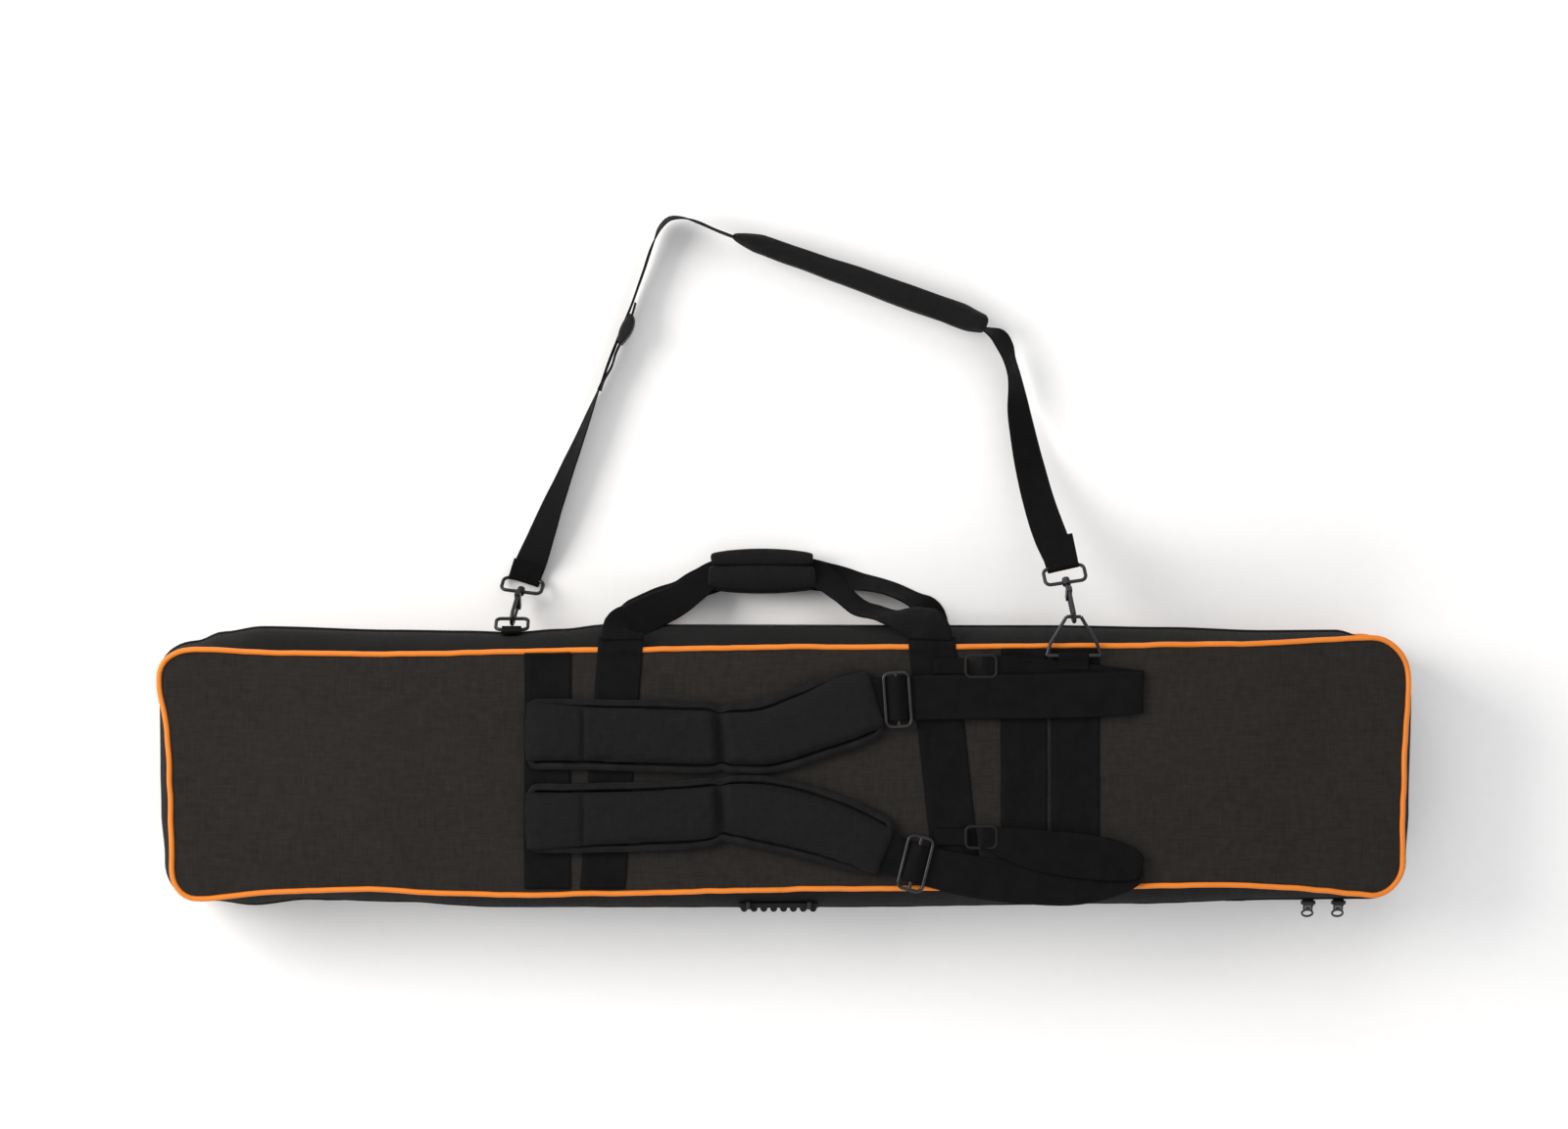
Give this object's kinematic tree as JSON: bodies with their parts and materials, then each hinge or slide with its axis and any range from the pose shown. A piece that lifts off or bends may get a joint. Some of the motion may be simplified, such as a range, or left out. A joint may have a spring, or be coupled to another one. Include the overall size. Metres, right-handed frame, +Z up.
{
  "type": "snowboard bag",
  "caption": "Long padded rectangular board bag with orange piping, backpack straps, carry handle and a clip-on shoulder strap.",
  "frame": {"origin": "centre of the resting face, on the floor under the middle of the front panel", "axes": "+Z up out of the back panel, +X along the bag, +Y towards the carry handle"},
  "size_m": [1.4, 0.7846, 0.1533],
  "materials": {
    "panel_fabric": "plain-weave polyester, charcoal",
    "gusset_fabric": "plain-weave polyester, charcoal",
    "piping": "orange covered piping cord",
    "webbing": "black nylon webbing",
    "pad_fabric": "black padded polyester with bound edges",
    "foam": "closed-cell foam board",
    "lining": "nylon lining",
    "zip_tape": "woven zip tape",
    "zip_coil": "nylon coil",
    "moulded_rubber": "moulded, semi-matt",
    "dark_metal": "black-nickel plated wire, glossy",
    "hardware_plastic": "black acetal"
  },
  "bodies": {
    "front_half": {"front_panel": "panel_fabric", "front_foam": "foam", "front_lining": "lining", "front_gusset": "gusset_fabric", "front_hinge_gusset": "gusset_fabric", "front_piping": "piping", "front_zip_tape": "zip_tape", "front_zip_coil": "zip_coil", "front_handle_bands": "webbing", "zip_end_tabs": "webbing"},
    "back_half": {"back_panel": "panel_fabric", "back_foam": "foam", "back_lining": "lining", "back_gusset": "gusset_fabric", "back_hinge_gusset": "gusset_fabric", "back_piping": "piping", "back_zip_tape": "zip_tape", "back_zip_coil": "zip_coil", "back_band_left": "webbing", "back_band_centre": "webbing", "back_band_right": "webbing", "back_handle_bands": "webbing", "hinge_strip": "gusset_fabric", "side_grip": "moulded_rubber", "side_grip_rivets": "dark_metal", "left_ring_tab": "webbing", "left_strap_ring": "dark_metal", "right_ring_tab": "webbing", "right_strap_ring": "dark_metal", "upper_anchor_tab": "webbing", "upper_anchor_ring": "dark_metal", "lower_anchor_tab": "webbing", "lower_anchor_ring": "dark_metal", "upper_webbing_return": "webbing", "lower_webbing_return": "webbing", "upper_webbing_run": "webbing", "lower_webbing_run": "webbing"},
    "zip_slider_left": {"zip_slider_left": "dark_metal"},
    "zip_slider_right": {"zip_slider_right": "dark_metal"},
    "zip_pull_left": {"zip_pull_left": "dark_metal"},
    "zip_pull_right": {"zip_pull_right": "dark_metal"},
    "back_handle": {"back_handle_loop": "webbing", "handle_grip": "pad_fabric"},
    "front_handle": {"front_handle_loop": "webbing"},
    "upper_strap": {"upper_pad": "pad_fabric", "upper_adjuster": "dark_metal"},
    "lower_strap": {"lower_pad": "pad_fabric", "lower_adjuster": "dark_metal"},
    "shoulder_strap": {"strap_webbing": "webbing", "left_strap_eye": "dark_metal", "right_strap_eye": "dark_metal"},
    "shoulder_pad": {"shoulder_pad": "pad_fabric"},
    "strap_adjuster": {"strap_adjuster": "hardware_plastic"},
    "left_hook": {"left_hook": "dark_metal"},
    "right_hook": {"right_hook": "dark_metal"},
    "left_hook_gate": {"left_hook_gate": "dark_metal"},
    "right_hook_gate": {"right_hook_gate": "dark_metal"}
  },
  "joints": [
    {"name": "lid_open", "type": "hinge", "parent": "front_half", "child": "back_half", "pos_m": [0, -0.166, 0.07], "axis": [1, 0, 0], "range_deg": [0, 150], "deforming": ["hinge_strip"]},
    {"name": "left_slider_travel", "type": "slide", "parent": "front_half", "child": "zip_slider_left", "axis": [1, 0, 0], "range_m": [-0.055, 0]},
    {"name": "right_slider_travel", "type": "slide", "parent": "front_half", "child": "zip_slider_right", "axis": [1, 0, 0], "range_m": [0, 0.03]},
    {"name": "left_pull_flip", "type": "hinge", "parent": "zip_slider_left", "child": "zip_pull_left", "pos_m": [0.589, -0.158, 0.066], "axis": [1, 0, 0], "range_deg": [-50, 25]},
    {"name": "right_pull_flip", "type": "hinge", "parent": "zip_slider_right", "child": "zip_pull_right", "pos_m": [0.623, -0.158, 0.066], "axis": [1, 0, 0], "range_deg": [-50, 25]},
    {"name": "handle_lift", "type": "hinge", "parent": "back_half", "child": "back_handle", "pos_m": [0, 0.147, 0.141], "axis": [1, 0, 0], "range_deg": [0, 140]},
    {"name": "front_handle_lift", "type": "hinge", "parent": "front_half", "child": "front_handle", "pos_m": [0, 0.149, 0.0028], "axis": [1, 0, 0], "range_deg": [0, 56]},
    {"name": "upper_strap_lift", "type": "hinge", "parent": "back_half", "child": "upper_strap", "pos_m": [-0.289, 0.041, 0.1404], "axis": [0, -1, 0], "range_deg": [0, 60], "deforming": ["upper_webbing_run"]},
    {"name": "lower_strap_lift", "type": "hinge", "parent": "back_half", "child": "lower_strap", "pos_m": [-0.289, -0.057, 0.1404], "axis": [0, -1, 0], "range_deg": [0, 60], "deforming": ["lower_webbing_run"]},
    {"name": "shoulder_strap_swing", "type": "hinge", "parent": "back_half", "child": "shoulder_strap", "pos_m": [-0.306, 0.167, 0.052], "axis": [0.9894, 0.0047, 0.1449], "range_deg": [0, 100]},
    {"name": "shoulder_pad_slide", "type": "slide", "parent": "shoulder_strap", "child": "shoulder_pad", "axis": [0.9411, -0.338, 0], "range_m": [-0.012, 0.012]},
    {"name": "strap_adjuster_slide", "type": "slide", "parent": "shoulder_strap", "child": "strap_adjuster", "axis": [0.3783, 0.9257, 0], "range_m": [-0.03, 0.03]},
    {"name": "left_hook_swivel", "type": "hinge", "parent": "shoulder_strap", "child": "left_hook", "pos_m": [-0.306, 0.167, 0.052], "axis": [0.1762, 0.6872, -0.7048], "range_deg": [-15, 15]},
    {"name": "right_hook_swivel", "type": "hinge", "parent": "shoulder_strap", "child": "right_hook", "pos_m": [0.322, 0.17, 0.144], "axis": [-0.1653, 0.863, -0.4774], "range_deg": [-15, 15]},
    {"name": "left_gate_open", "type": "hinge", "parent": "left_hook", "child": "left_hook_gate", "pos_m": [-0.30142, 0.17842, 0.02739], "axis": [-0.9844, 0.123, -0.1262], "range_deg": [0, 20], "stiffness_Nm_per_rad": 0.02},
    {"name": "right_gate_open", "type": "hinge", "parent": "right_hook", "child": "right_hook_gate", "pos_m": [0.3177, 0.18808, 0.12371], "axis": [-0.9863, -0.1446, 0.08], "range_deg": [0, 20], "stiffness_Nm_per_rad": 0.02}
  ],
  "couplings": [
    {"joint": "front_handle_lift", "follows": "handle_lift", "ratio": 0.4}
  ]
}
